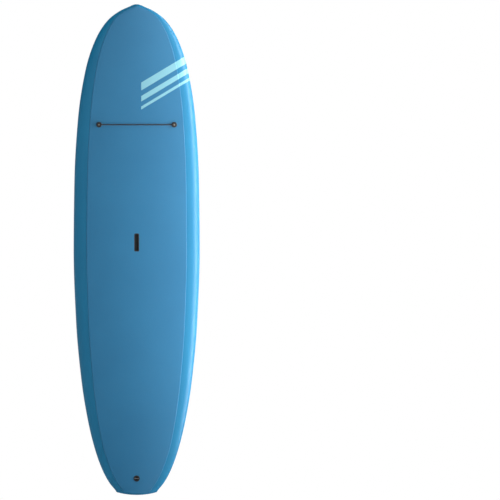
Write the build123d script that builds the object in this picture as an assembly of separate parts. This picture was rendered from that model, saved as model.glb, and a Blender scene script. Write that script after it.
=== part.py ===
"""A 10 ft 6 in stand-up paddle style surfboard with a soft deck, a bungee, a carry handle, a leash
plug and one fin in a sliding box.

The board is drawn lying flat: X to the right rail, Y from the tail to the nose, Z up through the
deck, with Z = 0 at the lowest point of the bottom. It is exported standing on its tail: nose up +Z,
deck towards -Y, with the origin on the floor under the middle of its bounding box."""

from build123d import *
import math
import os

# --- Board ------------------------------------------------------------------------------------
LENGTH = 3200.0
SKIN = 2.0  # laminate
PAD = 4.0  # soft deck sheet
STRINGER, STRINGER_END = 5.0, 200.0  # thickness, and where it stops ahead of the tail
# Lines plan. Each pair is (distance from the nose, value).
HALF_WIDTH = [(0, 0), (15, 47), (41, 104), (106, 189), (237, 271), (432, 334), (758, 383.5),
              (1150, 406), (1606, 411), (2062, 395.5), (2454, 360), (2714, 318), (2910, 269.5),
              (3040, 222), (3118, 180), (3171, 137), (3200, 108)]
BOTTOM = [(0, 168), (41, 144), (106, 116), (237, 79), (432, 47), (758, 19.5), (1085, 6),
          (1410, 0.2), (1670, 0), (1930, 1.8), (2192, 9), (2454, 20), (2714, 35), (2845, 46),
          (3040, 69), (3200, 92)]
DECK = [(0, 190), (15, 192.5), (106, 182), (237, 170), (432, 156), (758, 139.5), (1085, 129),
        (1410, 124), (1930, 121), (2454, 122), (2714, 124), (2910, 127), (3040, 130.5), (3200, 134)]
CROWN_SHARE = 0.036  # the deck's dome, as a share of the half width
RAIL_SHARE = 0.2  # the rail's width seen from above, as a share of the half width
RAIL_LEAST = 30.0
APEX_SHARE = 0.42  # how far up its thickness the board is widest
TUCK = [(0, 0), (60, 12), (432, 24), (1606, 27), (2454, 20), (2714, 10), (3200, 4)]
TAIL_RADIUS = 480.0  # the tail's end, seen from above
SEAM = 2.7  # height of the laminates' joint line above the bottom
STATIONS = 26  # lofted sections
FIRST_STATION = 1.5  # the first section's distance from the nose
TAIL_CUT = 60.0
PAD_FROM, PAD_END = 15.0, 10.0  # the soft deck's distances from the nose and from the tail's end
MIDDLE = 31.04  # where the bottom's lowest point lies in the exported frame's Y
BIG = 1000.0


# --- Fin and its box, in the box's own frame ---------------------------------------------------
BOX_FROM_NOSE = 2942.5
BOX_PROUD = 0.3
SLOT_LENGTH, SLOT_WIDTH, SLOT_DEPTH = 267.0, 9.8, 24.0
BOX_WALL, BOX_FLOOR = 7.5, 3.0
CHANNEL_WIDTH, CHANNEL_LOW, CHANNEL_TOP = 14.4, 14.5, 19.5
TAB_THICK, TAB_DEPTH, HEEL_DEPTH = 9.4, 13.0, 20.0
BASE_BACK, BASE_FRONT, TAB_FRONT, HEEL_FRONT = -83.0, 82.0, 106.0, -56.0
BLADE_THICK, BLADE_CLEAR = 8.0, 0.4
LEADING_EDGE = [(34.5, -96), (-17, -161), (-80, -195.5), (-120, -203.5)]
TIP_POINT = (-153, -186)
TRAILING_EDGE = [(-141, -165), (-100, -117), (-80, -62)]
SCREW_AT, SCREW_RADIUS, SCREW_END = 96.0, 2.0, 20.5
SCREW_HEAD_RADIUS, SCREW_HEAD_LOW, SCREW_HEAD_TOP = 4.0, 0.4, 3.0
PLATE_WIDTH, PLATE_LENGTH, PLATE_THICK = 13.6, 14.0, 3.0
PIN_AT, PIN_HIGH, PIN_RADIUS, PIN_LENGTH = -70.0, 17.0, 2.3, 13.6
FIT = 0.05  # radial running clearance

# --- Deck fittings: heights are from the soft deck's surface ------------------------------------
HANDLE_FROM_NOSE = 1554.0
HANDLE_LENGTH, HANDLE_WIDTH, HANDLE_CORNER = 118.0, 32.0, 8.0
HANDLE_FLANGE, HANDLE_NECK, HANDLE_DEPTH, HANDLE_WALL = 3.0, 6.0, 38.0, 3.0
HANDLE_POCKET = 22.0  # how far the finger pocket runs under the deck
MOUTH_LENGTH, MOUTH_WIDTH, MOUTH_CORNER = 108.0, 24.0, 6.0
LEASH_FROM_NOSE = 3093.0
LEASH_RADIUS, LEASH_DEPTH, LEASH_PROUD = 20.0, 26.0, 3.0
BOWL_RADIUS, BOWL_DEPTH = 14.0, 17.0
BAR_RADIUS, BAR_LENGTH, BAR_HIGH = 2.5, 33.0, -3.5
BUNGEE_FROM_NOSE = 786.0
ANCHOR_X, ANCHOR_RADIUS, ANCHOR_HIGH, ANCHOR_GAP = 245.0, 18.0, 11.5, 0.1
CORD_RADIUS, CORD_HIGH = 4.0, 4.5
CORD_END_X, CORD_BEND_X = 233.5, 118.0  # the cord is straight from one bend to the other
CRIMP_RADIUS, CRIMP_LENGTH = 4.4, 6.0
BOLT_RADIUS, BOLT_END, BOLT_HEAD_RADIUS, BOLT_HEAD = 2.4, -19.5, 4.8, 2.6
INSERT_RADIUS, INSERT_LENGTH = 5.0, 20.0
UNDER_SKIN = -(PAD + SKIN)
CUT_ABOVE = 2.0  # how far the cuts for flush fittings run out of the board


def smooth(points, s):
    """The lines plan's value at s, by a monotone cubic over the station angle, which keeps the
    nose round."""
    def angle(x):
        return math.acos(max(-1.0, min(1.0, 1 - 2 * x / LENGTH)))

    u = [angle(p[0]) for p in points]
    v = [p[1] for p in points]
    steps = [b - a for a, b in zip(u, u[1:])]
    slopes = [(b - a) / d for a, b, d in zip(v, v[1:], steps)]
    inner = [2 * a * b / (a + b) if a * b > 0 else 0.0 for a, b in zip(slopes, slopes[1:])]
    tangents = [slopes[0], *inner, slopes[-1]]
    at = angle(s)
    i = max(0, min(len(steps) - 1, sum(at > x for x in u) - 1))
    t = (at - u[i]) / steps[i]
    straight = v[i] * (1 + 2 * t) * (1 - t) ** 2 + v[i + 1] * t * t * (3 - 2 * t)
    return straight + steps[i] * t * (1 - t) * (tangents[i] * (1 - t) - tangents[i + 1] * t)


def lean_factor(points, s):
    """How much further a skin reaches across the board than through its own thickness, where the
    line runs aslant."""
    slope = (smooth(points, s + 1) - smooth(points, s - 1)) / 2
    return math.hypot(1, slope)


def rail_inset(s):
    """How far inboard of the outline the deck's domed part ends."""
    width = smooth(HALF_WIDTH, s)
    return max(RAIL_SHARE * width, min(RAIL_LEAST, 0.8 * width))


def dome_drop(s):
    return CROWN_SHARE * smooth(HALF_WIDTH, s)


def dome_half(s):
    return smooth(HALF_WIDTH, s) - rail_inset(s)


def deck_height(x, s):
    """The height of the soft deck's surface."""
    return smooth(DECK, s) - dome_drop(s) * (x / dome_half(s)) ** 2


def stations(first, last, count):
    """Distances from the nose, closer together near the ends."""
    a, b = (math.acos(1 - 2 * s / LENGTH) for s in (first, last))
    return [LENGTH * (1 - math.cos(a + (b - a) * i / (count - 1))) / 2 for i in range(count)]


def curve(*points):
    return Edge.make_line(*points) if len(points) == 2 else Edge.make_bezier(*points)


def crown(half, edge_high, drop, y):
    """The deck's dome from the right edge to the left, as a parabola."""
    return curve((half, y, edge_high), (0, y, edge_high + 2 * drop), (-half, y, edge_high))


def board_section(s, inset):
    """The outline of the laminated board at s, without the soft deck, with every side moved in."""
    y, full = LENGTH - s, smooth(HALF_WIDTH, s)
    low, high = smooth(BOTTOM, s) + inset, smooth(DECK, s) - PAD - inset
    width = full - inset * lean_factor(HALF_WIDTH, s)
    flat = min(dome_half(s), 0.92 * width)
    edge = max(width - smooth(TUCK, s), 0.5 * width)
    shoulder = high - dome_drop(s)
    apex = low + APEX_SHARE * (high - low)
    lean = 0.55 * (width - flat) * 2 * dome_drop(s) / flat

    def side(k):
        upper = curve(
            (k * flat, y, shoulder), (k * (flat + 0.55 * (width - flat)), y, shoulder - lean),
            (k * width, y, apex + 0.55 * (shoulder - apex)), (k * width, y, apex))
        lower = curve(
            (k * width, y, apex), (k * width, y, apex - 0.6 * (apex - low)),
            (k * (edge + 0.5 * (width - edge)), y, low), (k * edge, y, low))
        return upper, lower

    return Wire([
        curve((-edge, y, low), (edge, y, low)), *side(1), crown(flat, shoulder, dome_drop(s), y),
        *side(-1)])


def board_solid(inset):
    """The laminated board's shape, moved in by inset, with its curved tail end."""
    first = FIRST_STATION + inset
    body = Solid.make_loft(
        [board_section(s, inset) for s in stations(first, LENGTH, STATIONS)])
    return body - behind_tail(inset)


def behind_tail(inset):
    """All that lies behind the tail's end, as seen from above."""
    round_end = Pos(0, TAIL_RADIUS, 0) * Cylinder(TAIL_RADIUS - inset, BIG)
    return Pos(0, TAIL_CUT / 2, 0) * Box(BIG, TAIL_CUT, BIG) - round_end


def on_deck(x, s):
    """A place on the soft deck's surface, with Z square to it."""
    along = (deck_height(x, s - 20) - deck_height(x, s + 20)) / 40
    across = 2 * dome_drop(s) * x / dome_half(s) ** 2
    turn = Rot(math.degrees(math.atan(along)), math.degrees(math.atan(across)), 0)
    return Pos(x, LENGTH - s, deck_height(x, s)) * turn


def fin_box_place():
    """The fin box's own frame: Y along the slot towards the nose, Z into the board."""
    ahead, behind = (smooth(BOTTOM, BOX_FROM_NOSE + step) for step in (-60, 60))
    low = smooth(BOTTOM, BOX_FROM_NOSE) - BOX_PROUD
    return Pos(0, LENGTH - BOX_FROM_NOSE, low) * Rot(math.degrees(math.atan2(ahead - behind, 120)), 0, 0)


def rod(radius, low, high):
    """A cylinder along Z from one height to the other."""
    return Pos(0, 0, (low + high) / 2) * Cylinder(radius, high - low)


def block(x0, x1, y0, y1, z0, z1):
    return Pos((x0 + x1) / 2, (y0 + y1) / 2, (z0 + z1) / 2) * Box(x1 - x0, y1 - y0, z1 - z0)


def slot_shape(length, width, low, high):
    """A slot along Y with round ends, from one height to the other."""
    return Pos(0, 0, low) * extrude(Rot(0, 0, 90) * SlotOverall(length, width), high - low)


def rounded(length, width, corner, low, high):
    """A rounded rectangle with its length along Y, from one height to the other."""
    return Pos(0, 0, low) * extrude(RectangleRounded(width, length, corner), high - low)


def crossed_recess(reach, half, low, high):
    """Two crossing grooves for a screwdriver."""
    return block(-reach, reach, -half, half, low, high) + block(-half, half, -reach, reach, low, high)


# --- The fin's pieces, in the box's frame -------------------------------------------------------
def fin_box_envelope(below=0):
    outer = 2 * BOX_WALL
    return slot_shape(SLOT_LENGTH + outer, SLOT_WIDTH + outer, -below, SLOT_DEPTH + BOX_FLOOR)


def fin_box():
    hollow = slot_shape(SLOT_LENGTH, SLOT_WIDTH, 0, SLOT_DEPTH)
    channel_half = (SLOT_LENGTH - SLOT_WIDTH) / 2
    channel = block(-CHANNEL_WIDTH / 2, CHANNEL_WIDTH / 2, -channel_half, channel_half,
                    CHANNEL_LOW, CHANNEL_TOP)
    return fin_box_envelope() - hollow - channel


def fin_blade():
    """The raked blade, drawn in the board's middle plane."""
    rake, back = (-0.42, -0.9), (-0.12, 1)
    front, rear = (BASE_FRONT, -BLADE_CLEAR), (BASE_BACK, -BLADE_CLEAR)
    lead = Spline(front, *LEADING_EDGE, TIP_POINT, tangents=[rake, (0, 1)])
    trail = Spline(TIP_POINT, *TRAILING_EDGE, rear, tangents=[(0, 1), back])
    base = Line(rear, front)
    outline = make_face([lead.edge(), trail.edge(), base.edge()])
    side_on = Plane((0, 0, 0), x_dir=(0, 1, 0), z_dir=(1, 0, 0))
    return extrude(side_on * outline, BLADE_THICK / 2, both=True)


def fin():
    """The blade, and the tab that slides in the box, with a hole for the pin and one for the
    screw."""
    half = TAB_THICK / 2
    tab = block(-half, half, BASE_BACK, TAB_FRONT, 0, TAB_DEPTH)
    heel = block(-half, half, BASE_BACK, HEEL_FRONT, 0, HEEL_DEPTH)
    root = block(-BLADE_THICK / 2, BLADE_THICK / 2, BASE_BACK, BASE_FRONT, -BLADE_CLEAR, 0)
    shaft = Pos(0, SCREW_AT, 0) * rod(SCREW_RADIUS + FIT, -1, TAB_DEPTH + 1)
    seat = Pos(0, SCREW_AT, 0) * rod(SCREW_HEAD_RADIUS + FIT, -1, SCREW_HEAD_TOP + FIT)
    return fin_blade() + root + tab + heel - shaft - seat - fin_pin()


def fin_pin():
    return Pos(0, PIN_AT, PIN_HIGH) * Rot(0, 90, 0) * Cylinder(PIN_RADIUS, PIN_LENGTH)


def fin_screw():
    """A pan head screw with a crossed recess, head outwards."""
    head = rod(SCREW_HEAD_RADIUS, SCREW_HEAD_LOW, SCREW_HEAD_TOP)
    screw = head + rod(SCREW_RADIUS, SCREW_HEAD_TOP, SCREW_END) - crossed_recess(2.4, 0.5, 0, 1.8)
    return Pos(0, SCREW_AT, 0) * screw


def fin_plate():
    """The square nut that the screw pulls against the channel's lips."""
    half, low = PLATE_WIDTH / 2, CHANNEL_LOW + FIT
    plate = block(-half, half, -PLATE_LENGTH / 2, PLATE_LENGTH / 2, low, low + PLATE_THICK)
    return Pos(0, SCREW_AT, 0) * (plate - rod(SCREW_RADIUS + FIT, 0, SCREW_END))


# --- Deck fittings, each in its own frame on the deck -------------------------------------------
def handle_envelope(above=0):
    half, under = HANDLE_LENGTH / 2 - 1.5, HANDLE_WIDTH / 2 - 1
    flange = rounded(HANDLE_LENGTH, HANDLE_WIDTH, HANDLE_CORNER, -HANDLE_FLANGE, above)
    neck = block(-under, under, -half, half, -HANDLE_NECK, -HANDLE_FLANGE)
    body = block(-under, under + HANDLE_POCKET, -half, half, -HANDLE_DEPTH, -HANDLE_NECK)
    return flange + neck + body


def handle_cup():
    """A grip well with a finger pocket that runs under the deck to the right."""
    half = HANDLE_LENGTH / 2 - 1.5 - HANDLE_WALL
    under = HANDLE_WIDTH / 2 - 1 - HANDLE_WALL
    well = block(-under, under + HANDLE_POCKET, -half, half,
                 -HANDLE_DEPTH + HANDLE_WALL, -HANDLE_NECK - HANDLE_WALL)
    mouth = rounded(MOUTH_LENGTH, MOUTH_WIDTH, MOUTH_CORNER, -HANDLE_NECK - HANDLE_WALL - 1, 1)
    return handle_envelope() - well - mouth


def leash_envelope():
    return rod(LEASH_RADIUS, -LEASH_DEPTH, LEASH_PROUD)


def leash_cup():
    cup = leash_envelope()
    cup = fillet(cup.edges().group_by(Axis.Z)[-1], LEASH_PROUD * 0.6)
    return cup - rod(BOWL_RADIUS, LEASH_PROUD - BOWL_DEPTH, LEASH_PROUD + 1) - leash_bar()


def leash_bar():
    return Pos(0, 0, BAR_HIGH) * Rot(0, 90, 0) * Cylinder(BAR_RADIUS, BAR_LENGTH)


def lying(radius, x0, x1, high):
    """A cylinder along X."""
    return Pos((x0 + x1) / 2, 0, high) * Rot(0, 90, 0) * Cylinder(radius, x1 - x0)


def cord_crimp(towards):
    """A collar on the cord's end, inside the anchor; towards is -1 where the cord leaves to -X."""
    out = CORD_END_X - ANCHOR_X
    a, b = sorted((-towards * out, -towards * (out + CRIMP_LENGTH)))
    return lying(CRIMP_RADIUS, a, b, CORD_HIGH + ANCHOR_GAP)


def anchor(towards):
    """A round cap with a side hole for the cord and a hole down the middle for the bolt."""
    cap = rod(ANCHOR_RADIUS, ANCHOR_GAP, ANCHOR_HIGH)
    cap = fillet(cap.edges().group_by(Axis.Z)[-1], 4)
    a, b = sorted((towards * (ANCHOR_RADIUS + 1), towards * (ANCHOR_X - CORD_END_X)))
    hole = lying(CORD_RADIUS + 0.6, a, b, CORD_HIGH + ANCHOR_GAP)
    return cap - hole - cord_crimp(towards) - bolt_blank()


def bolt_blank():
    """The bolt without its driver recess."""
    under_head = ANCHOR_HIGH - BOLT_HEAD
    return rod(BOLT_HEAD_RADIUS, under_head, ANCHOR_HIGH) + rod(BOLT_RADIUS, BOLT_END, under_head)


def anchor_bolt():
    return bolt_blank() - crossed_recess(3, 0.6, ANCHOR_HIGH - 1.6, ANCHOR_HIGH + 1)


def anchor_insert():
    return rod(INSERT_RADIUS, UNDER_SKIN - INSERT_LENGTH, UNDER_SKIN) - rod(BOLT_RADIUS, -BIG, 0)


def cord_route():
    """The cord's bends, from its left end to its right, over the deck's dome."""
    top = deck_height(0, BUNGEE_FROM_NOSE) + CORD_HIGH
    end = deck_height(CORD_END_X, BUNGEE_FROM_NOSE) + CORD_HIGH
    half = [(CORD_BEND_X, top), (CORD_END_X, end)]
    y = LENGTH - BUNGEE_FROM_NOSE
    return [(-x, y, z) for x, z in half[::-1]] + [(x, y, z) for x, z in half]


def bungee_cord():
    """The cord's tube: straight runs joined by wide arcs."""
    route = [Vector(*p) for p in cord_route()]
    radii = []
    for a, b, c in zip(route, route[1:], route[2:]):
        turn = math.radians((b - a).get_angle(c - b))
        radii.append(0.45 * min((b - a).length, (c - b).length) / math.tan(turn / 2))
    path = FilletPolyline(*route, radius=radii)
    start = Plane(origin=path @ 0, z_dir=path % 0)
    tube = sweep(start * Circle(CORD_RADIUS), path=path)
    print("cord: length", round(path.length, 1), "bend radii", [round(r) for r in radii],
          "volume share", round(tube.volume / (math.pi * CORD_RADIUS**2 * path.length), 4))
    return tube


# --- The whole board ----------------------------------------------------------------------------
def soft_deck(shell):
    """The sheet bonded over the domed part of the deck."""
    sections = []
    for s in stations(PAD_FROM, LENGTH, STATIONS):
        y, half = LENGTH - s, dome_half(s) - 2
        edge_high = deck_height(half, s)
        middle = (smooth(BOTTOM, s) + smooth(DECK, s)) / 2
        sections.append(Wire([
            curve((-half, y, middle), (half, y, middle)),
            curve((half, y, middle), (half, y, edge_high)),
            crown(half, edge_high, smooth(DECK, s) - edge_high, y),
            curve((-half, y, edge_high), (-half, y, middle))]))
    return Solid.make_loft(sections) - shell - behind_tail(PAD_END)


def bottom_region():
    """All that lies below the laminates' joint line."""
    line = [(0, LENGTH - s, smooth(BOTTOM, s) + SEAM) for s in stations(0, LENGTH, STATIONS)]
    low = -BIG / 2
    ahead, behind = (0, LENGTH + 60, line[0][2]), (0, -60, line[-1][2])
    profile = Wire([
        Edge.make_line(ahead, line[0]), Edge.make_spline(line), Edge.make_line(line[-1], behind),
        Edge.make_line(behind, (0, -60, low)), Edge.make_line((0, -60, low), (0, LENGTH + 60, low)),
        Edge.make_line((0, LENGTH + 60, low), ahead)])
    return extrude(Face(profile), BIG / 2, dir=(1, 0, 0), both=True)


def build():
    """Every node, in the flat board's frame."""
    shell, core = board_solid(0), board_solid(SKIN)
    skin = shell - core
    under = bottom_region()
    box = fin_box_place()
    handle, leash = on_deck(0, HANDLE_FROM_NOSE), on_deck(0, LEASH_FROM_NOSE)
    left, right = (on_deck(x, BUNGEE_FROM_NOSE) for x in (-ANCHOR_X, ANCHOR_X))
    bolt_holes = left * rod(BOLT_RADIUS, BOLT_END, 1) + right * rod(BOLT_RADIUS, BOLT_END, 1)
    deck_cuts = handle * handle_envelope(CUT_ABOVE) + leash * leash_envelope() + bolt_holes
    fin_cut = box * fin_box_envelope(CUT_ABOVE)

    reach = HANDLE_WIDTH / 2 + HANDLE_POCKET + 16
    hard_foam = {
        "fin_box_block": box * block(-32, 32, -152, 152, 0, 46),
        "handle_block": handle * block(-34, reach, -76, 76, -54, 0),
        "leash_block": leash * rod(36, -42, 0),
        "anchor_block_left": left * rod(28, -44, 0),
        "anchor_block_right": right * rod(28, -44, 0),
    }
    filled = [fin_cut, deck_cuts, left * rod(INSERT_RADIUS, UNDER_SKIN - INSERT_LENGTH, 0),
              right * rod(INSERT_RADIUS, UNDER_SKIN - INSERT_LENGTH, 0)]
    nodes, rest = {}, core
    for name, tool in hard_foam.items():
        nodes[name] = tool & rest
        rest -= tool
        for cut in filled:
            nodes[name] -= cut
    half = STRINGER / 2
    strip = block(-half, half, STRINGER_END, BIG * 8, -BIG, BIG)
    nodes["stringer"] = rest & strip
    nodes["core_left"] = (rest & block(-BIG, 0, -BIG, BIG * 8, -BIG, BIG)) - strip
    nodes["core_right"] = (rest & block(0, BIG, -BIG, BIG * 8, -BIG, BIG)) - strip
    nodes["bottom_shell"] = (skin & under) - fin_cut
    nodes["deck_shell"] = (skin - under) - deck_cuts
    nodes["deck_pad"] = soft_deck(shell) - deck_cuts
    nodes["fin_box"] = box * fin_box()
    nodes["fin"] = box * fin()
    nodes["fin_pin"] = box * fin_pin()
    nodes["fin_screw"] = box * fin_screw()
    nodes["fin_plate"] = box * fin_plate()
    nodes["handle_cup"] = handle * handle_cup()
    nodes["leash_cup"] = leash * leash_cup()
    nodes["leash_bar"] = leash * leash_bar()
    for side, place, towards in (("left", left, 1), ("right", right, -1)):
        nodes[f"anchor_{side}"] = place * anchor(towards)
        nodes[f"anchor_bolt_{side}"] = place * anchor_bolt()
        nodes[f"anchor_insert_{side}"] = place * anchor_insert()
        nodes[f"cord_crimp_{side}"] = place * cord_crimp(towards)
    nodes["bungee_cord"] = bungee_cord()
    return nodes


os.makedirs("parts", exist_ok=True)
stand_up = Pos(0, MIDDLE, 0) * Rot(90, 0, 0)
for name, shape in build().items():
    export_step(stand_up * shape, f"parts/{name}.step")
    print(name, len(shape.solids()), round(shape.volume))
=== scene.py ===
"""The looks of a soft-top stand-up board: a satin blue and white hull under a matte soft deck,
with a foiled fin, a bungee and printed stripes. The board stands on its tail, nose up +Z, with its
deck towards -Y. The board's lengths are in millimetres, as if it lay flat, and become metres in
the frame where a piece's mesh is made. The studio's are in metres."""
import math
from functools import lru_cache

import bmesh
import bpy
from mathutils import Matrix, Vector


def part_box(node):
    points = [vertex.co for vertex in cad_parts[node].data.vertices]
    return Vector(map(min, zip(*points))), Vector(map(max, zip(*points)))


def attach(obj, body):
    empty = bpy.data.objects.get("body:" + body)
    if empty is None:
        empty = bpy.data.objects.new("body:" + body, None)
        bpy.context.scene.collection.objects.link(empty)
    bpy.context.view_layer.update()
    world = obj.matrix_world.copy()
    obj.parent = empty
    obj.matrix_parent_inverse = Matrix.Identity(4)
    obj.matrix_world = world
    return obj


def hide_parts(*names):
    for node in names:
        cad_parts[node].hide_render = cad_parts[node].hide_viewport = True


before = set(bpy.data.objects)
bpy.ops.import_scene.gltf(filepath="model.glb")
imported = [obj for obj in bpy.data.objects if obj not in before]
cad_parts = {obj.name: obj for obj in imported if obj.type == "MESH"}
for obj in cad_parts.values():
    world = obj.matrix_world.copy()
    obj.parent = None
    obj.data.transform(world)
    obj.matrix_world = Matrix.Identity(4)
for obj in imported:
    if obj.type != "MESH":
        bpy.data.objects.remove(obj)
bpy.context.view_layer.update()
MM = 0.001

# --- The lines plan: pairs of (distance from the nose, value) -----------------------------------
LENGTH = 3200.0
SKIN, PAD = 2.0, 4.0
RAIL_SEAM, TAIL_SEAM = 0.25, 2.7  # how high over the bottom the two laminates meet
SEAM_FROM, SEAM_TO = 2500.0, 3050.0  # where the one height turns into the other
HALF_WIDTH = [(0, 0), (15, 47), (41, 104), (106, 189), (237, 271), (432, 334), (758, 383.5),
              (1150, 406), (1606, 411), (2062, 395.5), (2454, 360), (2714, 318), (2910, 269.5),
              (3040, 222), (3118, 180), (3171, 137.8), (3200, 108)]
BOTTOM = [(0, 168), (41, 144), (106, 116), (237, 79), (432, 47), (758, 19.5), (1085, 6),
          (1410, 0.2), (1670, 0), (1930, 1.8), (2192, 9), (2454, 20), (2714, 35), (2845, 46),
          (3040, 69), (3200, 92)]
DECK = [(0, 190), (15, 192.5), (106, 182), (237, 170), (432, 156), (758, 139.5), (1085, 129),
        (1410, 124), (1930, 121), (2454, 122), (2714, 124), (2910, 127), (3040, 130.5), (3200, 134)]
TUCK = [(0, 0), (60, 12), (432, 24), (1606, 27), (2454, 20), (2714, 10), (3200, 4)]
CROWN_SHARE, RAIL_SHARE, RAIL_LEAST, RAIL_MOST, APEX_SHARE = 0.036, 0.2, 30.0, 0.8, 0.42
FLAT_MOST, FLOOR_LEAST = 0.92, 0.5  # of the width there
TUCK_PULL, LOW_PULL, HIGH_PULL = 0.5, 0.6, 0.55  # how far the rail's curves keep to their ends
TAIL_RADIUS = 480.0
MIDDLE = 31.04  # where the bottom's lowest point lies in the frame's Y
NOSE_ROUND = 6.0  # the nose edge's radius, seen from the side
DECK_CORNER, BOTTOM_CORNER = 6.0, 2.5  # the tail end's corners
NARROWER = 0.15  # how much a corner narrows the section for each length that it flattens it
LEAST_WIDTH, LEAST_SEAM, LEAST_RADIUS = 0.2, 0.05, 0.5  # what insets leave at the least
TAIL_FROM = 2900.0  # from here back the rows bend towards the tail's round end
VEE, VEE_FROM, VEE_FULL, VEE_TO = 2.0, 2300.0, 2620.0, 2780.0
PAD_FROM, PAD_END, PAD_TIP, PAD_EDGE = 15.0, 10.0, 3.5, 3.0
FIN_BOX_FROM_NOSE, BOX_PROUD = 2942.5, 0.3
BOX_SLOT_LENGTH, BOX_SLOT_WIDTH, BOX_WALL = 267.0, 9.8, 7.5
BOX_FACE = 0.6  # how deep the box is painted
BOX_CUT, DECK_CUT = (-5.0, 12.0), (-12.0, 5.0)  # from and to what height the cutters reach
DECK_FIT_REACH, BOX_FIT_REACH = 20.0, 60.0  # over which a fitting takes the board's slope
HANDLE_FROM_NOSE, HANDLE_LENGTH, HANDLE_WIDTH, HANDLE_CORNER = 1554.0, 118.0, 32.0, 8.0
LEASH_FROM_NOSE, LEASH_RADIUS = 3093.0, 20.0
BUNGEE_FROM_NOSE, CORD_RADIUS, CORD_HIGH = 786.0, 4.0, 4.5
CORD_END_X, CORD_BEND_X, CORD_LENGTH = 233.5, 118.0, 467.5
ROWS = 150  # of the hull's meshes, from nose to tail
OUTER_TIP, INNER_TIP = 0.001, 3.5  # where a skin's two faces begin
BEND_STEPS = 4  # tries at finding a bent row's place
CORNER_TURNS = (15, 30, 45, 60, 75, 90)  # degrees round the tail end's corner
END_SHARES = (0.75, 0.5, 0.25, 0)  # and from there to the seam


def line(points):
    """The lines plan's curve through points: a monotone cubic over the station angle."""
    def angle(s):
        return math.acos(max(-1.0, min(1.0, 1 - 2 * s / LENGTH)))

    u, v = [angle(p[0]) for p in points], [p[1] for p in points]
    steps = [b - a for a, b in zip(u, u[1:])]
    slopes = [(b - a) / d for a, b, d in zip(v, v[1:], steps)]
    inner = [2 * a * b / (a + b) if a * b > 0 else 0.0 for a, b in zip(slopes, slopes[1:])]
    tangents = [slopes[0], *inner, slopes[-1]]

    def value(s):
        at = angle(s)
        i = max(0, min(len(steps) - 1, sum(at > x for x in u) - 1))
        t = (at - u[i]) / steps[i]
        straight = v[i] * (1 + 2 * t) * (1 - t) ** 2 + v[i + 1] * t * t * (3 - 2 * t)
        return straight + steps[i] * t * (1 - t) * (tangents[i] * (1 - t) - tangents[i + 1] * t)

    return value


half_width, bottom, deck, tuck = line(HALF_WIDTH), line(BOTTOM), line(DECK), line(TUCK)


def in_frame(x, s, z):
    """The frame's place of a flat board's point, at x across, s from the nose and z up."""
    return Vector((x, MIDDLE - z, LENGTH - s)) * MM


def dome_half(s):
    """Half the width of the deck's domed part."""
    width = half_width(s)
    return width - max(RAIL_SHARE * width, min(RAIL_LEAST, RAIL_MOST * width))


def deck_height(x, s):
    return deck(s) - CROWN_SHARE * half_width(s) * (x / dome_half(s)) ** 2


def slope_of(height, s, reach):
    """How fast a height changes with the distance from the nose."""
    return (height(s + reach) - height(s - reach)) / (2 * reach)


def step(value, low, high):
    """0 below low, 1 above high, and smooth between."""
    t = max(0.0, min(1.0, (value - low) / (high - low)))
    return t * t * (3 - 2 * t)


def stations(first, last, count):
    """Distances from the nose, closer together near the ends."""
    a, b = (math.acos(1 - 2 * s / LENGTH) for s in (first, last))
    return [LENGTH * (1 - math.cos(a + (b - a) * i / (count - 1))) / 2 for i in range(count)]


def tail_end(x, inset):
    """How far from the nose the tail's round end is, at x."""
    return LENGTH - TAIL_RADIUS + math.sqrt((TAIL_RADIUS - inset) ** 2 - x * x)


def bent_row(s, end):
    """Where the row at s lies on a line whose rows stop at end instead of LENGTH."""
    if s <= TAIL_FROM:
        return s
    return TAIL_FROM + (end - TAIL_FROM) * ((s - TAIL_FROM) / (LENGTH - TAIL_FROM))


def seam_height(s):
    return RAIL_SEAM + (TAIL_SEAM - RAIL_SEAM) * step(s, SEAM_FROM, SEAM_TO)


# --- The hull's surface -------------------------------------------------------------------------
@lru_cache(maxsize=None)
def section(s, inset, flatter):
    """The heights and widths that the hull's outline at s is drawn from. It can be made flatter
    without taking much off its width, for the corners round the tail's end."""
    aslant = math.hypot(1, slope_of(half_width, s, 1))
    low, high = bottom(s) + inset + flatter, deck(s) - PAD - inset - flatter
    width = max(half_width(s) - inset * aslant - NARROWER * flatter, LEAST_WIDTH)
    flat = min(dome_half(s), FLAT_MOST * width)
    edge = max(width - tuck(s), FLOOR_LEAST * width)
    drop = CROWN_SHARE * half_width(s)
    apex = low + APEX_SHARE * (high - low)
    lean = HIGH_PULL * (width - flat) * 2 * drop / flat
    seam = rail_share(max(seam_height(s) - inset - flatter, LEAST_SEAM) / (apex - low))
    return low, high, width, flat, edge, high - drop, apex, lean, seam


def rail_share(rise):
    """How far along the rail's lower curve it has done that share of its rise, by Newton's way."""
    pull = 3 * (1 - LOW_PULL)
    at = math.sqrt(rise / pull)
    for _ in range(3):
        off = pull * at**2 + (1 - pull) * at**3 - rise
        at -= off / (2 * pull * at + 3 * (1 - pull) * at**2)
    return at


def bezier(t, *points):
    """A point on a cubic."""
    weights = ((1 - t) ** 3, 3 * t * (1 - t) ** 2, 3 * t * t * (1 - t), t**3)
    return tuple(sum(w * p[i] for w, p in zip(weights, points)) for i in range(2))


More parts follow.
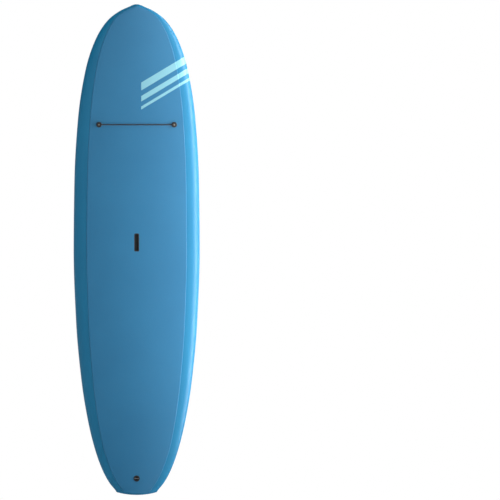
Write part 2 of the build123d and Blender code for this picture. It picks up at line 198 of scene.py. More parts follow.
def hull_point(region, t, s, inset, flatter=0.0):
    """(x, height) on the right half of the hull's outline at s. The regions are the floor, the
    strip from it up to the laminates' seam, the rail from there to its apex, the shoulder above
    that, and the deck."""
    low, high, width, flat, edge, shoulder, apex, lean, seam = section(s, inset, flatter)
    if region == "floor":
        fade = step(s, VEE_FROM, VEE_FULL) * (1 - step(s, VEE_FULL, VEE_TO))
        x, z = edge * t, low - VEE * fade * (1 - t)
    elif region in ("strip", "rail"):
        at = seam * t if region == "strip" else seam + (1 - seam) * t
        x, z = bezier(at, (edge, low), (edge + TUCK_PULL * (width - edge), low),
                      (width, apex - LOW_PULL * (apex - low)), (width, apex))
    elif region == "shoulder":
        x, z = bezier(t, (width, apex), (width, apex + HIGH_PULL * (shoulder - apex)),
                      (flat + HIGH_PULL * (width - flat), shoulder - lean), (flat, shoulder))
    else:
        x, z = flat * (1 - t), shoulder + (high - shoulder) * (1 - (1 - t) ** 2)
    if s < NOSE_ROUND:
        middle = (low + high) / 2
        z = middle + (z - middle) * math.sqrt(1 - (1 - s / NOSE_ROUND) ** 2)
    return x, z


def corner_radius(region, t):
    """The tail end's corner: sharp under the board, round from the rail up."""
    grown = {"floor": 0, "strip": 0, "rail": t}.get(region, 1)
    return BOTTOM_CORNER + (DECK_CORNER - BOTTOM_CORNER) * grown


def hull_column(region, t, inset):
    """The hull's points along one line from the nose to the tail, round its corner and across its
    end to the seam, as (x, distance from the nose, height)."""
    radius = max(corner_radius(region, t) - inset, LEAST_RADIUS)
    column = []
    for s in stations(INNER_TIP if inset else OUTER_TIP, LENGTH, ROWS):
        at = s
        for _ in range(BEND_STEPS if s > TAIL_FROM else 1):
            x, z = hull_point(region, t, at, inset)
            at = bent_row(s, tail_end(x, inset) - radius)
        column.append((x, at, z))
    for turn in CORNER_TURNS:
        inward = radius * (1 - math.cos(math.radians(turn)))
        ahead = radius * (1 - math.sin(math.radians(turn)))
        at = tail_end(column[-1][0], inset) - ahead
        x, z = hull_point(region, t, at, inset, inward)
        column.append((x, tail_end(x, inset) - ahead, z))
    x, at, z = column[-1]
    seam = bottom(at) + TAIL_SEAM
    for share in END_SHARES:
        column.append((x, at, seam + (z - seam) * share))
    return column


def half_columns(regions):
    """The columns through those regions in turn, each as (region, how far through it)."""
    columns = [(region, i / count) for region, count in regions for i in range(count)]
    return columns + [(regions[-1][0], 1.0)]


# --- Making meshes ------------------------------------------------------------------------------
WELD, SHARP = 2e-6, 35  # metres and degrees


def add_mesh(name, verts, faces, body=None, replaced=(), slot=None):
    """A mesh with its sharp edges kept sharp. It replaces those nodes and rides the body, where
    one is given."""
    mesh = bpy.data.meshes.new(name)
    mesh.from_pydata(verts, [], faces)
    work = bmesh.new()
    work.from_mesh(mesh)
    bmesh.ops.remove_doubles(work, verts=work.verts, dist=WELD)
    bmesh.ops.recalc_face_normals(work, faces=work.faces)
    work.to_mesh(mesh)
    work.free()
    piece = bpy.data.objects.new(name, mesh)
    bpy.context.scene.collection.objects.link(piece)
    smooth_shade(piece)
    if body:
        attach(piece, body)
        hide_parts(*replaced)
    return piece


def smooth_shade(piece):
    piece.data.shade_smooth()
    piece.data.set_sharp_from_angle(angle=math.radians(SHARP))


def grid_faces(rows, columns, start=0, flip=False):
    faces = []
    for i in range(rows - 1):
        for j in range(columns - 1):
            a = start + i * columns + j
            face = (a, a + 1, a + columns + 1, a + columns)
            faces.append(face[::-1] if flip else face)
    return faces


def shell_mesh(outer, inner):
    """Faces of two grids of the same size and of the walls that join their borders."""
    rows, columns = len(outer), len(outer[0])
    verts = [p for row in outer for p in row] + [p for row in inner for p in row]
    size = rows * columns
    faces = grid_faces(rows, columns) + grid_faces(rows, columns, size, flip=True)
    border = [(0, j) for j in range(columns)] + [(i, columns - 1) for i in range(1, rows)]
    border += [(rows - 1, j) for j in range(columns - 2, -1, -1)]
    border += [(i, 0) for i in range(rows - 2, 0, -1)]
    ring = [i * columns + j for i, j in border]
    for a, b in zip(ring, ring[1:] + ring[:1]):
        faces.append((b, a, a + size, b + size))
    return verts, faces


def hull_skin(name, half, replaced, slot):
    """One laminate of the hull. half lists its columns from one side's border to the middle."""
    sheets = []
    for inset in (0.0, SKIN):
        columns = [hull_column(region, t, inset) for region, t in half]
        right = [[in_frame(x, s, z) for x, s, z in column] for column in columns]
        left = [[in_frame(-x, s, z) for x, s, z in column] for column in columns[:-1]]
        sheets.append([list(row) for row in zip(*right, *left[::-1])])
    return add_mesh(name, *shell_mesh(*sheets), "board", replaced, slot)


def combine(piece, operation, *tools):
    """Joins the tools' shapes to a piece, or takes them out of it."""
    for tool in tools:
        change = piece.modifiers.new("change", "BOOLEAN")
        change.operation, change.solver, change.object = operation, "EXACT", tool
    bake_modifiers(piece)
    for tool in tools:
        bpy.data.objects.remove(tool)


def bake_modifiers(piece):
    """The piece's mesh as its modifiers leave it."""
    bpy.context.view_layer.update()
    seen = piece.evaluated_get(bpy.context.evaluated_depsgraph_get())
    old, piece.data = piece.data, bpy.data.meshes.new_from_object(seen)
    piece.modifiers.clear()
    bpy.data.meshes.remove(old)
    smooth_shade(piece)


def closed_faces(rings, count):
    """Faces over rings of that many points, with a lid on the first and the last."""
    faces = [tuple(range(count))[::-1]]
    for start in range(0, (rings - 1) * count, count):
        for i in range(count):
            a, b = start + i, start + (i + 1) % count
            faces.append((a, b, b + count, a + count))
    return faces + [tuple(range((rings - 1) * count, rings * count))]


def prism(name, outline, low, high, place):
    """A solid of that outline between two heights, for cutting with."""
    verts = [place @ (Vector((x, y, z)) * MM) for z in (low, high) for x, y in outline]
    return add_mesh(name, verts, closed_faces(2, len(outline)))


def rounded_outline(length, width, corner, steps=8):
    """A rounded rectangle with its length along Y."""
    outline = []
    for turn, (x, y) in enumerate(((1, 1), (-1, 1), (-1, -1), (1, -1))):
        for i in range(steps + 1):
            a = math.pi / 2 * (turn + i / steps)
            outline.append((x * (width / 2 - corner) + corner * math.cos(a),
                            y * (length / 2 - corner) + corner * math.sin(a)))
    return outline


def fitting_frame(s, z, slope):
    """A fitting's own frame on the board's middle: X across, Y towards the nose and Z up."""
    upright = Matrix(((1, 0, 0), (0, 0, -1), (0, 1, 0))).to_4x4()
    pitch = Matrix.Rotation(-math.atan(slope), 4, "X")
    return Matrix.Translation(in_frame(0, s, z)) @ upright @ pitch


def deck_frame(s):
    return fitting_frame(s, deck(s), slope_of(deck, s, DECK_FIT_REACH))


def fin_box_frame():
    slope = slope_of(bottom, FIN_BOX_FROM_NOSE, BOX_FIT_REACH)
    return fitting_frame(FIN_BOX_FROM_NOSE, bottom(FIN_BOX_FROM_NOSE) - BOX_PROUD, slope)


def deck_cutters():
    """The holes that the handle and the leash plug leave in what lies over them."""
    handle = rounded_outline(HANDLE_LENGTH, HANDLE_WIDTH, HANDLE_CORNER)
    leash = rounded_outline(2 * LEASH_RADIUS, 2 * LEASH_RADIUS, LEASH_RADIUS, 12)
    return (prism("handle_cutter", handle, *DECK_CUT, deck_frame(HANDLE_FROM_NOSE)),
            prism("leash_cutter", leash, *DECK_CUT, deck_frame(LEASH_FROM_NOSE)))


# --- Camera, light and floor, in metres ---------------------------------------------------------
CAMERA_AT, CAMERA_SPAN, CAMERA_REACH = (0.739, -6.0, 1.597), 3.26, 60
STRIPS = {  # where it stands, its height, its width and length, and its power
    "key_deck": ((1.35, -0.47), 2.1, (0.35, 3.8), 27),
    "sheen_deck": ((2.3, -6.0), 2.4, (0.8, 4.4), 30),
    "key_bottom": ((1.7, 0.7), 2.4, (0.35, 3.0), 5)}
STRIP_SPREAD = 110
DISC_AT, DISC_AWAY, DISC_WIDTH, DISC_POWER = (0.3, 2.2, 3.6), (0.3, 2.2, 1.0), 1.2, 18
SUN_ANGLE, SUN_POWER, ROOM_POWER = 40, 1.55, 0.06
FLOOR_HALF = 40


def add_light(name, kind, power, place=(0, 0, 0), away=(0, 0, 1)):
    """A light that shines the opposite way from away."""
    light = bpy.data.objects.new(name, bpy.data.lights.new(name, kind))
    light.data.energy, light.location = power, place
    light.rotation_euler = Vector(away).to_track_quat("Z", "Y").to_euler()
    bpy.context.scene.collection.objects.link(light)
    return light


def lights():
    """Tall soft strips on the right, one along each face and a broad one in front of the deck, a
    disc high behind the nose and a soft sun overhead."""
    for name, ((x, y), height, size, power) in STRIPS.items():
        strip = add_light(name, "AREA", power, (x, y, height), (x, y, 0))
        strip.data.shape, (strip.data.size, strip.data.size_y) = "RECTANGLE", size
        strip.data.spread, strip.visible_camera = math.radians(STRIP_SPREAD), False
    disc = add_light("nose", "AREA", DISC_POWER, DISC_AT, DISC_AWAY)
    disc.data.shape, disc.data.size, disc.visible_camera = "DISK", DISC_WIDTH, False
    add_light("top", "SUN", SUN_POWER).data.angle = math.radians(SUN_ANGLE)


def room():
    """White where the camera looks past the board, and dim for everything else."""
    world = bpy.data.worlds.new("room")
    bpy.context.scene.world = world
    world.use_nodes = True
    tree = world.node_tree
    tree.nodes.clear()
    dim, bright, seen, mix, out = (tree.nodes.new("ShaderNode" + kind) for kind in (
        "Background", "Background", "LightPath", "MixShader", "OutputWorld"))
    dim.inputs["Strength"].default_value = ROOM_POWER
    for shade in (dim, bright):
        shade.inputs["Color"].default_value = (1, 1, 1, 1)
    tree.links.new(seen.outputs["Is Camera Ray"], mix.inputs[0])
    tree.links.new(dim.outputs[0], mix.inputs[1])
    tree.links.new(bright.outputs[0], mix.inputs[2])
    tree.links.new(mix.outputs[0], out.inputs[0])


def studio():
    """A level camera square to the deck, in a pale room with a floor."""
    camera = bpy.data.objects.new("camera", bpy.data.cameras.new("camera"))
    camera.data.type, camera.data.ortho_scale = "ORTHO", CAMERA_SPAN
    camera.location, camera.rotation_euler = CAMERA_AT, (math.pi / 2, 0, 0)
    camera.data.clip_end = CAMERA_REACH
    bpy.context.scene.collection.objects.link(camera)
    bpy.context.scene.camera = camera
    lights()
    corners = [(x * FLOOR_HALF, y * FLOOR_HALF, 0) for x, y in ((-1, -1), (1, -1), (1, 1), (-1, 1))]
    floor = add_mesh("floor", corners, [(0, 1, 2, 3)])
    floor.data.materials.append(floor_material())
    room()
    bpy.context.scene.view_settings.view_transform = "Standard"


# --- Materials ----------------------------------------------------------------------------------
def sRGB(red, green, blue):
    """Screen values as the renderer's own."""
    return tuple(((c / 255 + 0.055) / 1.055) ** 2.4 if c > 10 else c / 255 / 12.92
                 for c in (red, green, blue))


class Paint:
    """A procedural material, built up from node sockets. The values are the shader's own."""

    def __init__(self, name, **values):
        self.material = bpy.data.materials.new(name)
        self.material.use_nodes = True
        self.tree = self.material.node_tree
        self.shader = self.tree.nodes["Principled BSDF"]
        values = {"Base_Color": (0.5, 0.5, 0.5, 1), "Roughness": 0.5, **values}
        for key, value in values.items():
            self.shader.inputs[key.replace("_", " ")].default_value = value
        self.where = self.tree.nodes.new("ShaderNodeTexCoord").outputs["Object"]
        parts = self.node("SeparateXYZ", self.where)
        self.x, self.y, self.z = parts.outputs

    def node(self, kind, *values, **settings):
        made = self.tree.nodes.new("ShaderNode" + kind)
        for key, value in settings.items():
            setattr(made, key, value)
        for i, value in enumerate(values):
            if isinstance(value, bpy.types.NodeSocket):
                self.tree.links.new(value, made.inputs[i])
            elif value is not None:
                made.inputs[i].default_value = value
        return made

    def math(self, operation, *values):
        return self.node("Math", *values, operation=operation).outputs[0]

    def noise(self, scale, detail=2.0, stretch=None):
        where = self.where
        if stretch:
            where = self.node("Mapping", where, None, None, stretch).outputs[0]
        made = self.node("TexNoise", where)
        made.inputs["Scale"].default_value, made.inputs["Detail"].default_value = scale, detail
        return made.outputs["Fac"]

    def spread(self, value, low, high, to_low, to_high):
        return self.node("MapRange", value, low, high, to_low, to_high).outputs[0]

    def even(self, noise, to_low=0.0, to_high=1.0):
        """Noise, most of which lies from 0.3 to 0.7, over a range."""
        return self.spread(noise, 0.3, 0.7, to_low, to_high)

    def blend(self, share, first, second):
        """A mix of two colours, each a socket or three numbers."""
        mix = self.tree.nodes.new("ShaderNodeMix")
        mix.data_type = "RGBA"
        for place, value in ((0, share), (6, first), (7, second)):
            socket = mix.inputs[place]
            if isinstance(value, bpy.types.NodeSocket):
                self.tree.links.new(value, socket)
            else:
                socket.default_value = (*value, 1) if isinstance(value, tuple) else value
        return mix.outputs[2]

    def within(self, value, centre, half):
        """1 where value is nearer to centre than half."""
        off = self.math("ABSOLUTE", self.math("SUBTRACT", value, centre))
        return self.math("LESS_THAN", off, half)

    def use(self, colour, roughness, height, depth):
        """The material with these sockets in it. depth is how deep the height's relief is."""
        bump = self.node("Bump", 1.0, depth)
        self.tree.links.new(height, bump.inputs["Height"])
        ends = {"Base Color": colour, "Roughness": roughness, "Normal": bump.outputs[0]}
        for name, value in ends.items():
            self.tree.links.new(value, self.shader.inputs[name])
        return self.material


AQUA = sRGB(136, 200, 216)
DECK_BARS = ((2.505, 0.010), (2.565, 0.018), (2.645, 0.026))  # height up the board, half width
BARS_FROM, BARS_TO, BARS_LEAN = 0.03, 0.5, -0.6


def deck_bars(paint, base):
    """Slanted bars across the right half of the deck and its rail, under the nose."""
    middle, half_run = (BARS_FROM + BARS_TO) / 2, (BARS_TO - BARS_FROM) / 2
    for height, half in DECK_BARS:
        across = paint.math("ADD", paint.z, paint.math("MULTIPLY", paint.x, BARS_LEAN))
        on = paint.math("MULTIPLY", paint.within(across, height, half),
                        paint.within(paint.x, middle, half_run))
        base = paint.blend(on, base, AQUA)
    return base


def floor_material():
    """Pale paint, with a painted glow that brightens it to white from a few metres from the board.
    """
    paint = Paint("floor_paint", Base_Color=(0.86, 0.86, 0.87, 1), Roughness=0.8)
    paint.shader.inputs["Emission Color"].default_value = (1, 1, 1, 1)
    away = paint.node("VectorMath", paint.where, operation="LENGTH").outputs["Value"]
    near, far, glow = 1.5, 12.0, 0.65
    # Painted glow: the floor's emission grows with its distance from the board, lighting it like a
    # lamp would.
    painted_glow = paint.node("MapRange", away, near, far, 0.0, glow, interpolation_type="SMOOTHSTEP")
    paint.tree.links.new(painted_glow.outputs[0], paint.shader.inputs["Emission Strength"])
    return paint.material


def soft_deck_material():
    """Matte blue soft sheet with a fine pressed grain."""
    paint = Paint("soft_deck_sheet", Specular_IOR_Level=0.5, Sheen_Weight=0.1, Sheen_Roughness=0.5)
    base = paint.blend(paint.even(paint.noise(3.0, 3.0)), sRGB(30, 120, 166), sRGB(36, 126, 172))
    speck = paint.spread(paint.noise(900.0, 1.0), 0.35, 0.65, 0, 1)
    base = paint.blend(paint.math("MULTIPLY", speck, 0.25), base, sRGB(32, 104, 148))
    base = deck_bars(paint, base)
    dimples = paint.math("MULTIPLY", paint.noise(160.0), 0.5)
    grain = paint.math("ADD", paint.noise(700.0), dimples)
    return paint.use(base, paint.even(paint.noise(40.0, 3.0), 0.34, 0.42), grain, depth=0.0004)


def blue_laminate_material():
    """Satin blue sheet, with fine scuffs along the board."""
    paint = Paint("blue_laminate", Specular_IOR_Level=0.4, Coat_Weight=0.15, Coat_Roughness=0.35)
    base = paint.blend(paint.even(paint.noise(2.5, 3.0)), sRGB(5, 124, 170), sRGB(8, 130, 176))
    base = deck_bars(paint, base)
    scuffs = paint.spread(paint.noise(60.0, 6.0, stretch=(1, 1, 0.15)), 0.35, 0.75, 0.42, 0.54)
    return paint.use(base, scuffs, paint.noise(35.0), depth=0.0001)


def white_laminate_material():
    """Satin white sheet with grey scuffs along the board."""
    paint = Paint("white_laminate", Specular_IOR_Level=0.45, Coat_Weight=0.25, Coat_Roughness=0.25)
    cloud = paint.even(paint.noise(1.8, 4.0))
    base = paint.blend(cloud, sRGB(226, 227, 228), sRGB(233, 234, 235))
    scuffs = paint.spread(paint.noise(90.0, 8.0, stretch=(1, 1, 0.05)), 0.62, 0.8, 0, 0.25)
    base = paint.blend(scuffs, base, sRGB(178, 181, 185))
    base = bottom_marks(paint, base)
    rough = paint.spread(paint.noise(50.0, 5.0, stretch=(1, 1, 0.1)), 0.3, 0.75, 0.3, 0.46)
    return paint.use(base, rough, paint.noise(30.0), depth=0.0005)


MARK_LEAN = 0.6
BOTTOM_MARKS = [  # from and to across, height up the board, half width, colour
    (-0.11, 0.06, 2.47, 0.016, sRGB(92, 98, 104)),
    (-0.085, 0.10, 2.415, 0.016, sRGB(120, 128, 134)),
    (-0.12, 0.12, 2.36, 0.020, sRGB(36, 124, 164)),
    (-0.10, 0.085, 2.305, 0.016, sRGB(74, 156, 176)),
    (-0.06, 0.11, 2.25, 0.014, sRGB(92, 98, 104)),
    (-0.16, 0.16, 2.168, 0.004, sRGB(110, 116, 122)),
    (-0.12, 0.12, 2.148, 0.004, sRGB(110, 116, 122)),
    (-0.035, 0.035, 0.075, 0.007, sRGB(58, 62, 66)),
    (-0.035, 0.035, 0.098, 0.007, sRGB(58, 62, 66)),
    (-0.04, 0.04, 0.045, 0.003, sRGB(90, 95, 100))]


def bottom_marks(paint, base):
    """Plain bars with slanted ends, under the nose and by the tail."""
    slant = paint.math("MULTIPLY", paint.z, MARK_LEAN)
    for low, high, height, half, colour in BOTTOM_MARKS:
        along = paint.math("SUBTRACT", paint.math("ADD", paint.x, slant), MARK_LEAN * height)
        on = paint.math("MULTIPLY", paint.within(paint.z, height, half),
                        paint.within(along, (low + high) / 2, (high - low) / 2))
        base = paint.blend(on, base, colour)
    return base


def moulded_material(name, colour, roughness, wear, grain=500.0, depth=0.0002, **values):
    """Moulded plastic: a fine grain, and edges that have paled with use."""
    paint = Paint(name, **values)
    worn = paint.spread(paint.tree.nodes.new("ShaderNodeNewGeometry").outputs["Pointiness"],
                        0.52, 0.6, 0, 0.6)
    cloud = paint.even(paint.noise(25.0, 4.0))
    base = paint.blend(cloud, colour, tuple(c * 1.35 for c in colour))
    base = paint.blend(paint.math("MULTIPLY", worn, paint.noise(120.0, 4.0)), base, wear)
    rough = paint.even(paint.noise(80.0, 5.0), roughness - 0.06, roughness + 0.08)
    return paint.use(base, rough, paint.noise(grain), depth)


def metal_material(name, colour, roughness):
    """Metal with fine tool marks."""
    paint = Paint(name, Metallic=1.0)
    marks = paint.noise(900.0, 3.0)
    base = paint.blend(paint.even(marks), colour, tuple(c * 0.75 for c in colour))
    rough = paint.even(marks, roughness, roughness + 0.15)
    return paint.use(base, rough, marks, depth=0.0001)


def foam_material(name, colour):
    """Closed-cell foam."""
    paint = Paint(name, Specular_IOR_Level=0.2)
    cells = paint.node("TexVoronoi", paint.where)
    cells.inputs["Scale"].default_value = 350.0
    base = paint.blend(cells.outputs["Distance"], tuple(c * 0.8 for c in colour), colour)
    rough = paint.even(paint.noise(30.0), 0.8, 0.95)
    return paint.use(base, rough, cells.outputs["Distance"], depth=0.0006)


def wood_material():
    """Straight-grained stringer wood."""
    paint = Paint("stringer_wood", Specular_IOR_Level=0.3)
    grain = paint.noise(60.0, 6.0, stretch=(1, 1, 0.04))
    base = paint.blend(paint.even(grain), sRGB(168, 128, 82), sRGB(206, 172, 122))
    return paint.use(base, paint.even(grain, 0.5, 0.7), grain, depth=0.0004)


STRANDS, STRAND_TWIST = 8.0, 2.6  # round the cord, and how they wind for each millimetre


def cord_material():
    """A woven cover: two sets of strands that cross as they wind round the cord, with painted shade
    in the grooves between them. The cord's own coordinates are in millimetres."""
    paint = Paint("cord_cover", Specular_IOR_Level=0.3, Sheen_Weight=0.3)
    low, high = (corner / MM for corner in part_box("bungee_cord"))
    off = paint.math("SUBTRACT", paint.z, (low.z + high.z) / 2)
    height = paint.math("SUBTRACT", paint.y, (low.y + high.y) / 2)
    turn = paint.math("ARCTAN2", off, height)
    waves = [paint.math("SINE", paint.math("ADD", paint.math("MULTIPLY", turn, hand * STRANDS),
                                           paint.math("MULTIPLY", paint.x, STRAND_TWIST)))
             for hand in (1, -1)]
    weave = paint.math("MAXIMUM", *waves)
    # Painted shade: the colour darkens where the weave sinks between the strands and lightens on
    # their crowns.
    base = paint.blend(paint.spread(weave, -0.2, 1, 0, 1), sRGB(12, 22, 30), sRGB(34, 56, 70))
    return paint.use(base, paint.spread(weave, -0.2, 1, 0.85, 0.6), weave, depth=0.0005)


def fin_box_material():
    """Black inside, and white like the bottom on its face."""
    paint = Paint("fin_box_plastic", Specular_IOR_Level=0.45)
    place = fin_box_frame()
    into, origin = place.to_3x3() @ Vector((0, 0, 1)), place.translation
    depth = paint.math("ADD", paint.math("MULTIPLY", paint.y, into.y),
                       paint.math("MULTIPLY", paint.z, into.z))
    painted = paint.math("LESS_THAN", depth, origin.dot(into) + BOX_FACE * MM)
    black = paint.blend(paint.even(paint.noise(25.0, 4.0)), sRGB(20, 20, 22), sRGB(30, 30, 32))
    base = paint.blend(painted, black, sRGB(228, 229, 230))
    rough = paint.even(paint.noise(80.0), 0.36, 0.5)
    return paint.use(base, rough, paint.noise(300.0), depth=0.0001)


# --- The pieces ---------------------------------------------------------------------------------
def bungee():
    """The cord, from one anchor's inside to the other's over the deck's dome."""
    s = BUNGEE_FROM_NOSE
    top, end = deck_height(0, s) + CORD_HIGH, deck_height(CORD_END_X, s) + CORD_HIGH
    route = [(-CORD_END_X, end), (-CORD_BEND_X, top), (CORD_BEND_X, top), (CORD_END_X, end)]
    curve = bpy.data.curves.new("bungee", "CURVE")
    curve.dimensions, curve.bevel_depth, curve.bevel_resolution = "3D", CORD_RADIUS, 8
    curve.use_fill_caps = True
    spline = curve.splines.new("NURBS")
    spline.points.add(len(route) - 1)
    for point, (x, z) in zip(spline.points, route):
        point.co = (*(in_frame(x, s, z) / MM), 1)
    spline.order_u, spline.use_endpoint_u, spline.resolution_u = 3, True, 24
    piece = bpy.data.objects.new("bungee", curve)
    piece.scale = (MM, MM, MM)
    bpy.context.scene.collection.objects.link(piece)
    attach(piece, "board")
    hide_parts("bungee_cord")
    curve.materials.append(cord_material())


def bottom_laminate():
    """The white skin, from seam to seam under the board, with the fin box's hole."""
    half = half_columns([("floor", 30), ("strip", 6)])[::-1]
    piece = hull_skin("bottom_laminate", half, ["bottom_shell"], "white_laminate")
    outer = 2 * BOX_WALL
    width = BOX_SLOT_WIDTH + outer
    outline = rounded_outline(BOX_SLOT_LENGTH + outer, width, width / 2, 12)
    combine(piece, "DIFFERENCE", prism("fin_box_cutter", outline, *BOX_CUT, fin_box_frame()))
    piece.data.materials.append(white_laminate_material())


def deck_laminate():
    """The blue skin, from seam to seam over the rails and under the soft deck."""
    half = half_columns([("rail", 12), ("shoulder", 16), ("deck", 24)])
    piece = hull_skin("deck_laminate", half, ["deck_shell"], "blue_laminate")
    combine(piece, "DIFFERENCE", *deck_cutters())
    piece.data.materials.append(blue_laminate_material())


PAD_SIDE = 2.0  # what the sheet leaves of the dome on each side
PAD_FINE = (0, 0.3, 0.8, 1.5, 2.3, 3.2, 5)  # in from its edges, where its points are close together
PAD_STEPS = 20  # from there to its middle


def pad_places(half):
    """Where the sheet's points lie across it, from the left to the right."""
    inward = [f for f in PAD_FINE if f < half / 2]
    inner = half - inward[-1]
    right = [half - f for f in inward] + [inner * (1 - i / PAD_STEPS) for i in range(1, PAD_STEPS)]
    right += [right[-1] / 2] * (len(PAD_FINE) - len(inward))
    return sorted(right + [0.0] + [-x for x in right])


def pad_row(s, under):
    """The points across the sheet's top or its under side at s."""
    half = dome_half(max(s, PAD_FROM)) - PAD_SIDE
    if s < PAD_FROM:
        half *= math.sqrt(1 - (PAD_FROM - s) / PAD_TIP)
    row = []
    for x in pad_places(half):
        at = bent_row(s, tail_end(x, PAD_END))
        edge = min(half - abs(x), tail_end(x, PAD_END) - at)
        drop = PAD if under else 0.0
        if not under and edge < PAD_EDGE:
            drop = PAD_EDGE - math.sqrt(PAD_EDGE**2 - (PAD_EDGE - max(edge, 0)) ** 2)
        row.append(in_frame(x, at, deck_height(x, at) - drop))
    return row


def soft_deck():
    """The soft sheet over the deck's dome, with rounded edges and ends."""
    tip = [PAD_FROM - PAD_TIP * math.cos(math.radians(a)) for a in (5, 20, 35, 50, 65, 80)]
    rows = tip + stations(PAD_FROM, LENGTH, ROWS)[:-1] + [LENGTH - f for f in PAD_FINE[::-1]]
    sheets = [[pad_row(s, under) for s in rows] for under in (False, True)]
    piece = add_mesh("soft_deck", *shell_mesh(*sheets), "board", ["deck_pad"], "soft_deck")
    combine(piece, "DIFFERENCE", *deck_cutters())
    piece.data.materials.append(soft_deck_material())


# --- The fin, in its box's frame: (along the slot towards the nose, height into the board) ------
BASE_BACK, BASE_FRONT, TAB_FRONT, HEEL_FRONT = -83.0, 82.0, 106.0, -56.0
TAB_THICK, TAB_DEPTH, HEEL_DEPTH, BLADE_THICK, TIP_THICK = 9.4, 13.0, 20.0, 8.0, 3.0
LEADING_EDGE = [(82, -0.4), (34.5, -96), (-17, -161), (-80, -195.5), (-120, -203.5), (-153, -186)]
TRAILING_EDGE = [(-83, -0.4), (-80, -62), (-100, -117), (-141, -165), (-153, -186)]
SCREW_AT, SCREW_HOLE, SEAT_HOLE, SEAT_DEPTH = 96.0, 2.05, 4.05, 3.05
HOLE_SPARE = 3.0  # how far the screw's cutters reach past the tab
TAB_BEVEL, ROOT_INTO = 0.8, 4.0  # ROOT_INTO is how far the blade's root runs into the tab
CHORD_THICK, CHORD_SPARE = 0.16, 1.0  # a short chord's thickness, as a share of it and a spare
BLUNT_HALF, BLUNT_SHARE = 0.5, 0.25  # of the trailing edge, and the chord that it rounds over
CURVE_STEPS, SPAN_ROWS, CHORD_STEPS = 40, 40, 18


def through(points, count):
    """Points evenly along a smooth curve through the given ones."""
    ends = [tuple(2 * a - b for a, b in zip(points[0], points[1])), *points,
            tuple(2 * a - b for a, b in zip(points[-1], points[-2]))]
    fine = []
    for p0, p1, p2, p3 in zip(ends, ends[1:], ends[2:], ends[3:]):
        for i in range(CURVE_STEPS):
            t = i / CURVE_STEPS
            fine.append(tuple(
                0.5 * (2 * b + (c - a) * t + (2 * a - 5 * b + 4 * c - d) * t * t
                       + (3 * b - a - 3 * c + d) * t**3) for a, b, c, d in zip(p0, p1, p2, p3)))
    fine.append(points[-1])
    run = [0.0]
    for a, b in zip(fine, fine[1:]):
        run.append(run[-1] + math.dist(a, b))
    out, j = [], 0
    for i in range(count):
        want = run[-1] * i / (count - 1)
        while j < len(run) - 2 and run[j + 1] < want:
            j += 1
        t = (want - run[j]) / (run[j + 1] - run[j])
        out.append(tuple(a + (b - a) * t for a, b in zip(fine[j], fine[j + 1])))
    return out


def foil(c):
    """A foil's half thickness at the share c of its chord, as a share of its full thickness."""
    return 5 * (0.2969 * math.sqrt(c) - 0.126 * c - 0.3516 * c**2 + 0.2843 * c**3 - 0.1036 * c**4)


def blade_half(c, thick):
    """Half the blade's thickness at the share c of its chord, with a blunt trailing edge."""
    blunt = BLUNT_HALF * math.sin(math.pi / 2 * min(1, (1 - c) / BLUNT_SHARE)) if c > 0.5 else 0
    return max(thick * foil(c), blunt)


def fin_blade(place):
    """The blade: foiled sections from the root to the tip."""
    lead, trail = through(LEADING_EDGE, SPAN_ROWS), through(TRAILING_EDGE, SPAN_ROWS)
    shares = [(1 - math.cos(math.pi * i / CHORD_STEPS)) / 2 for i in range(CHORD_STEPS + 1)]
    root = [(BASE_FRONT, ROOT_INTO), (BASE_BACK, ROOT_INTO)]
    rows = [root] + list(zip(lead, trail))[:-1]
    ring = [(c, 1) for c in shares] + [(c, -1) for c in shares[-2:0:-1]]
    verts = []
    for i, (front, back) in enumerate(rows):
        thick = min(BLADE_THICK + (TIP_THICK - BLADE_THICK) * i / len(rows),
                    CHORD_THICK * math.dist(front, back) + CHORD_SPARE)
        for c, side in ring:
            along, high = (a + (b - a) * c for a, b in zip(front, back))
            verts.append(place @ (Vector((side * blade_half(c, thick), along, high)) * MM))
    return add_mesh("fin_blade", verts, closed_faces(len(rows), len(ring)))


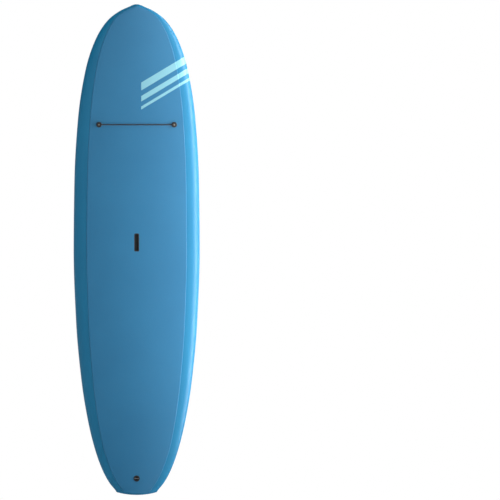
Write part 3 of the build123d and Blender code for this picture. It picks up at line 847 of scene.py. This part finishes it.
def fin_tab(place):
    """The tab that slides in the box, across the board's middle, with its edges rounded."""
    corners = [(BASE_BACK, 0), (TAB_FRONT, 0), (TAB_FRONT, TAB_DEPTH), (HEEL_FRONT, TAB_DEPTH),
               (HEEL_FRONT, HEEL_DEPTH), (BASE_BACK, HEEL_DEPTH)]
    verts = [place @ (Vector((side * TAB_THICK / 2, y, z)) * MM)
             for side in (-1, 1) for y, z in corners]
    piece = add_mesh("fin_moulding", verts, closed_faces(2, len(corners)))
    change = piece.modifiers.new("bevel", "BEVEL")
    change.width, change.segments = TAB_BEVEL * MM, 3
    bake_modifiers(piece)
    return piece


def fin():
    """Blade and tab in one moulding, with the screw's hole and seat."""
    place = fin_box_frame()
    piece = fin_tab(place)
    combine(piece, "UNION", fin_blade(place))
    at_screw = place @ Matrix.Translation(Vector((0, SCREW_AT, 0)) * MM)
    combine(piece, "DIFFERENCE", *(
        prism("screw_cutter", rounded_outline(2 * r, 2 * r, r, 10), -HOLE_SPARE, high, at_screw)
        for r, high in ((SCREW_HOLE, TAB_DEPTH + HOLE_SPARE), (SEAT_HOLE, SEAT_DEPTH))))
    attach(piece, "fin")
    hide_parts("fin")
    piece.data.materials.append(moulded_material(
        "fin_plastic", sRGB(24, 24, 26), 0.36, sRGB(70, 70, 74), 260.0, 0.00015,
        Specular_IOR_Level=0.5))


def finish_cad_nodes():
    """Materials of the CAD nodes that show as they are, or stay inside the board."""
    black = moulded_material("black_plastic", sRGB(22, 23, 25), 0.42, sRGB(88, 88, 90))
    steel = metal_material("stainless", (0.6, 0.6, 0.61), 0.25)
    brass = metal_material("brass", (0.72, 0.52, 0.25), 0.3)
    bolt = metal_material("bolt_metal", (0.36, 0.33, 0.27), 0.35)
    block = foam_material("hard_foam", sRGB(205, 190, 150))
    looks = {"stringer": wood_material(), "fin_box": fin_box_material(), "leash_bar": steel,
             "fin_screw": steel, "fin_plate": steel, "fin_pin": brass, "handle_cup": black,
             "leash_cup": black, "handle_block": block, "leash_block": block,
             "fin_box_block": block}
    foam = foam_material("core_foam", sRGB(238, 234, 222))
    for side in ("left", "right"):
        looks |= {f"core_{side}": foam, f"anchor_block_{side}": block, f"anchor_{side}": black,
                  f"anchor_bolt_{side}": bolt, f"anchor_insert_{side}": brass,
                  f"cord_crimp_{side}": steel}
    for node, material in looks.items():
        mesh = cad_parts[node].data
        mesh.materials.clear()
        mesh.materials.append(material)


studio()
bungee()
bottom_laminate()
deck_laminate()
soft_deck()
fin()
finish_cad_nodes()
